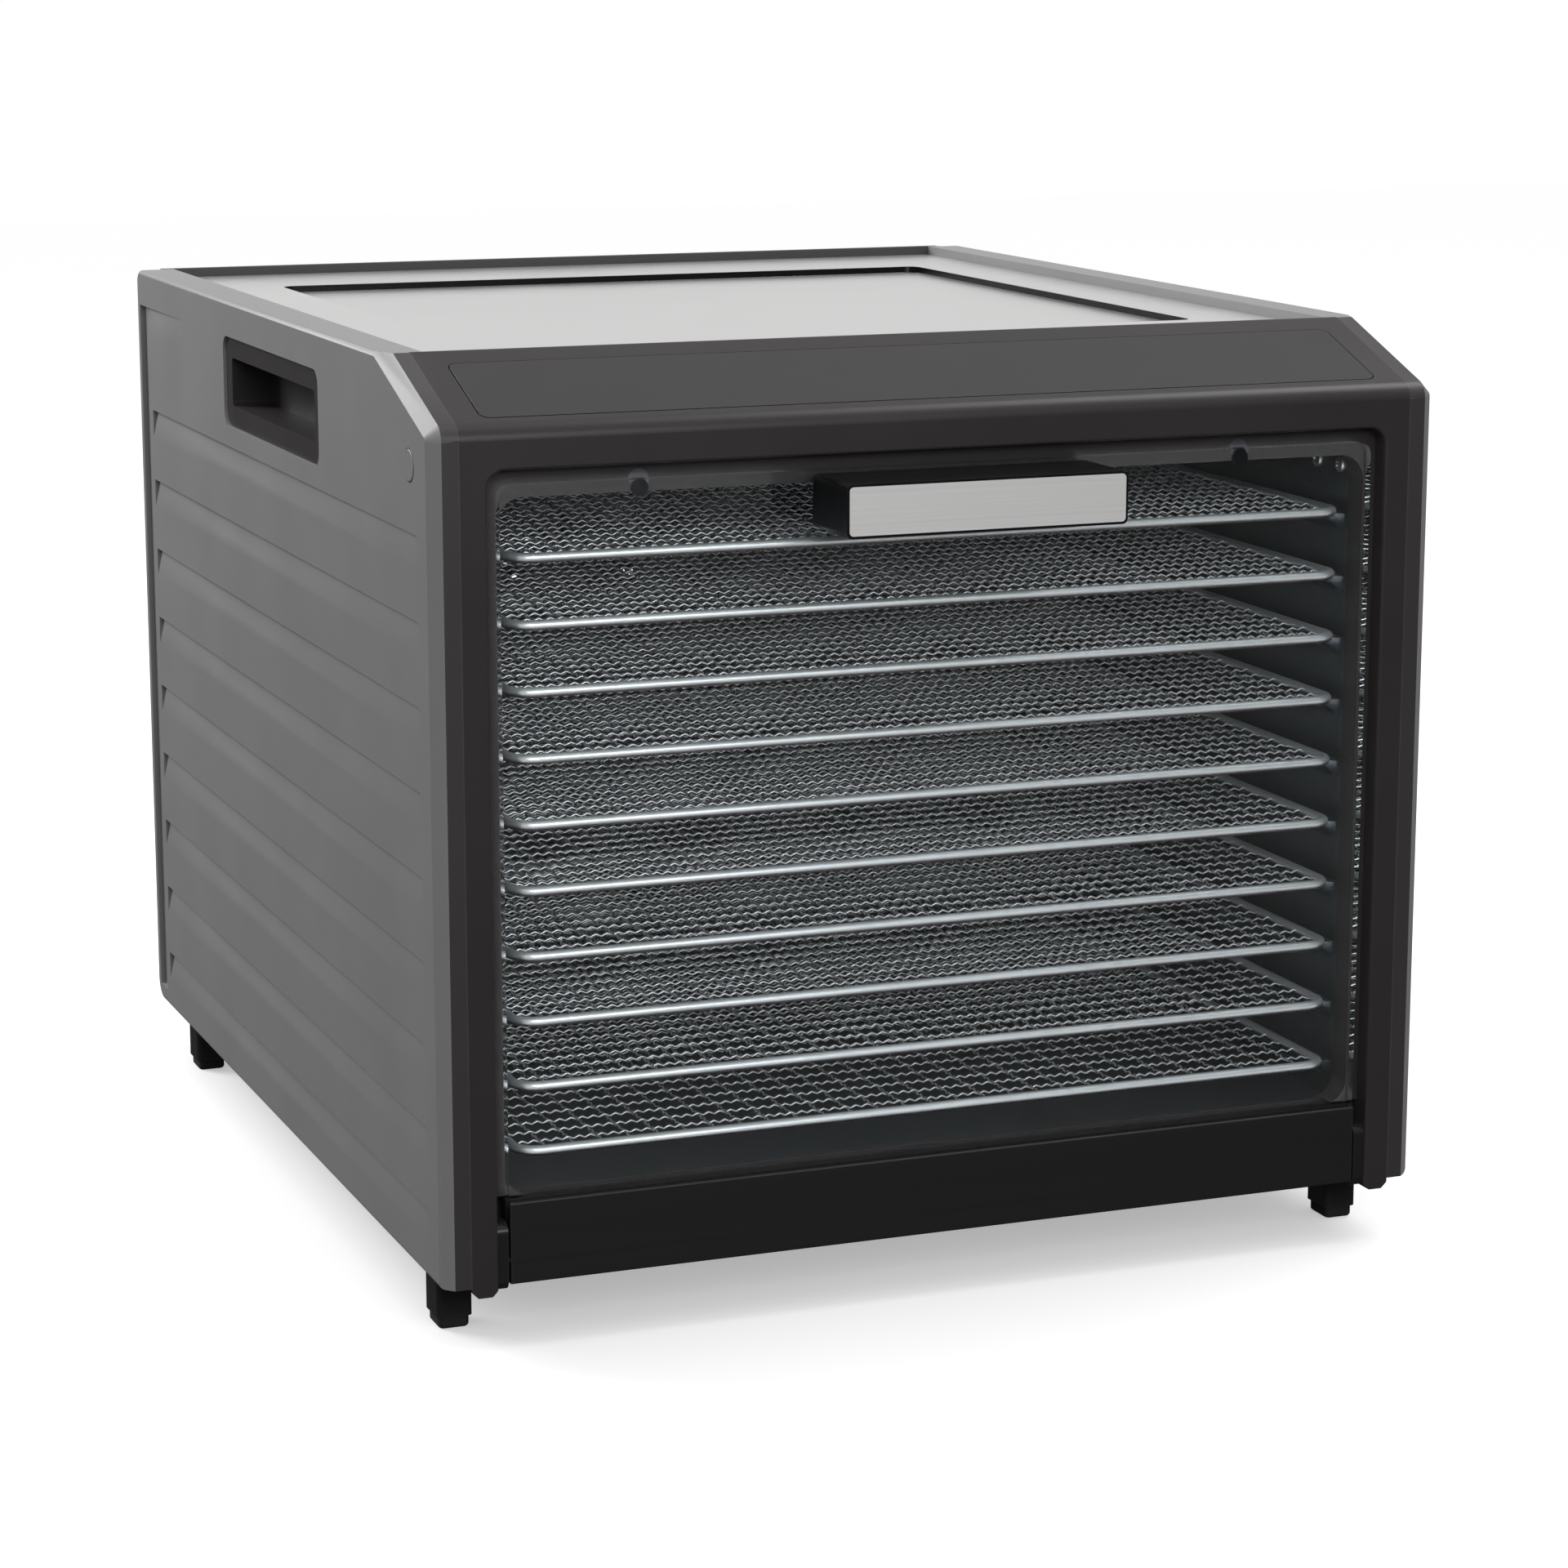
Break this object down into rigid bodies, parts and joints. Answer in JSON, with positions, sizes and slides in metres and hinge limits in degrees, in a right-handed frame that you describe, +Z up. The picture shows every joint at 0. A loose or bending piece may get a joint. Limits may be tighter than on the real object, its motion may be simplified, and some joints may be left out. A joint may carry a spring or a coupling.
{
  "type": "food dehydrator",
  "caption": "Box-shaped countertop food dehydrator with a drop-down glass door, sliding wire trays, a sloped touch panel, carrying pockets and a rear fan and heater.",
  "frame": {"origin": "centre of the whole box, handle and inlet flange included, on the counter under the feet", "axes": "+Z up, -Y out of the door, +X to the right of a person who faces the door"},
  "size_m": [0.4206, 0.5166, 0.379],
  "materials": {
    "side_panel": "satin grey moulded plastic",
    "top_sheet": "satin grey coated sheet",
    "frame": "charcoal moulded plastic",
    "control_glass": "gloss dark grey",
    "liner": "galvanised sheet",
    "shell_steel": "black coated sheet",
    "rear_plastic": "dark grey textured plastic",
    "tray_wire": "chrome plated wire",
    "door_glass": "clear",
    "rail": "black anodised",
    "handle_black": "satin black",
    "handle_steel": "brushed",
    "fastener": "zinc plated",
    "magnet": "nickel plated",
    "hinge_black": "gloss black nylon",
    "board": "green laminate",
    "display": "dark window",
    "fan_metal": "bare",
    "motor_metal": "satin",
    "heater_metal": "heat darkened sheath",
    "inlet_black": "black",
    "foot_black": "satin black",
    "rubber": "matt"
  },
  "bodies": {
    "cabinet": {"left_side_panel": "side_panel", "right_side_panel": "side_panel", "left_handle_pocket": "frame", "right_handle_pocket": "frame", "side_screw_caps": "side_panel", "top_cover": "top_sheet", "rear_cover": "rear_plastic", "rear_screws": "fastener", "base_pan": "shell_steel", "front_frame": "frame", "control_panel": "control_glass", "control_board": "board", "display_module": "display", "magnet_catches": "magnet", "left_liner_wall": "liner", "right_liner_wall": "liner", "liner_roof": "liner", "liner_floor": "liner", "liner_screws": "fastener", "liner_stands": "fastener", "rear_baffle": "liner", "hinge_blocks": "hinge_black", "fan_motor": "motor_metal", "motor_bearings": "fastener", "motor_bracket": "fastener", "motor_posts": "fastener", "heater_element": "heater_metal", "heater_clips": "fastener", "thermal_cutout": "handle_black", "power_inlet": "inlet_black", "foot_front_left": "foot_black", "pad_front_left": "rubber", "foot_front_right": "foot_black", "pad_front_right": "rubber", "foot_rear_left": "foot_black", "pad_rear_left": "rubber", "foot_rear_right": "foot_black", "pad_rear_right": "rubber"},
    "door": {"door_glass": "door_glass", "door_lower_rail": "rail", "hinge_pins": "fastener", "handle_grip": "handle_black", "handle_plate": "handle_steel", "handle_screws": "fastener", "strike_discs": "magnet"},
    "fan": {"fan_impeller": "fan_metal", "motor_shaft": "fastener", "fan_nut": "fastener"},
    "tray_01": {"tray_01": "tray_wire"},
    "tray_02": {"tray_02": "tray_wire"},
    "tray_03": {"tray_03": "tray_wire"},
    "tray_04": {"tray_04": "tray_wire"},
    "tray_05": {"tray_05": "tray_wire"},
    "tray_06": {"tray_06": "tray_wire"},
    "tray_07": {"tray_07": "tray_wire"},
    "tray_08": {"tray_08": "tray_wire"},
    "tray_09": {"tray_09": "tray_wire"},
    "tray_10": {"tray_10": "tray_wire"}
  },
  "joints": [
    {"name": "door_hinge", "type": "hinge", "parent": "cabinet", "child": "door", "pos_m": [0, -0.2177, 0.034], "axis": [1, 0, 0], "range_deg": [0, 86]},
    {"name": "fan_spin", "type": "hinge", "parent": "cabinet", "child": "fan", "pos_m": [0, 0.1843, 0.195], "axis": [0, 1, 0], "continuous": true},
    {"name": "tray_slide_01", "type": "slide", "parent": "cabinet", "child": "tray_01", "axis": [0, -1, 0], "range_m": [0, 0.24002]},
    {"name": "tray_slide_02", "type": "slide", "parent": "cabinet", "child": "tray_02", "axis": [0, -1, 0], "range_m": [0, 0.24002]},
    {"name": "tray_slide_03", "type": "slide", "parent": "cabinet", "child": "tray_03", "axis": [0, -1, 0], "range_m": [0, 0.24002]},
    {"name": "tray_slide_04", "type": "slide", "parent": "cabinet", "child": "tray_04", "axis": [0, -1, 0], "range_m": [0, 0.24002]},
    {"name": "tray_slide_05", "type": "slide", "parent": "cabinet", "child": "tray_05", "axis": [0, -1, 0], "range_m": [0, 0.23852]},
    {"name": "tray_slide_06", "type": "slide", "parent": "cabinet", "child": "tray_06", "axis": [0, -1, 0], "range_m": [0, 0.20205]},
    {"name": "tray_slide_07", "type": "slide", "parent": "cabinet", "child": "tray_07", "axis": [0, -1, 0], "range_m": [0, 0.16557]},
    {"name": "tray_slide_08", "type": "slide", "parent": "cabinet", "child": "tray_08", "axis": [0, -1, 0], "range_m": [0, 0.1291]},
    {"name": "tray_slide_09", "type": "slide", "parent": "cabinet", "child": "tray_09", "axis": [0, -1, 0], "range_m": [0, 0.09263]},
    {"name": "tray_slide_10", "type": "slide", "parent": "cabinet", "child": "tray_10", "axis": [0, -1, 0], "range_m": [0, 0.056]}
  ],
  "couplings": [
    {"joint": "tray_slide_01", "follows": "door_hinge", "m_per_rad": 0.1599},
    {"joint": "tray_slide_02", "follows": "door_hinge", "m_per_rad": 0.1599},
    {"joint": "tray_slide_03", "follows": "door_hinge", "m_per_rad": 0.1599},
    {"joint": "tray_slide_04", "follows": "door_hinge", "m_per_rad": 0.1599},
    {"joint": "tray_slide_05", "follows": "door_hinge", "m_per_rad": 0.1589},
    {"joint": "tray_slide_06", "follows": "door_hinge", "m_per_rad": 0.1346},
    {"joint": "tray_slide_07", "follows": "door_hinge", "m_per_rad": 0.1103},
    {"joint": "tray_slide_08", "follows": "door_hinge", "m_per_rad": 0.086},
    {"joint": "tray_slide_09", "follows": "door_hinge", "m_per_rad": 0.0617},
    {"joint": "tray_slide_10", "follows": "door_hinge", "m_per_rad": 0.0373}
  ]
}
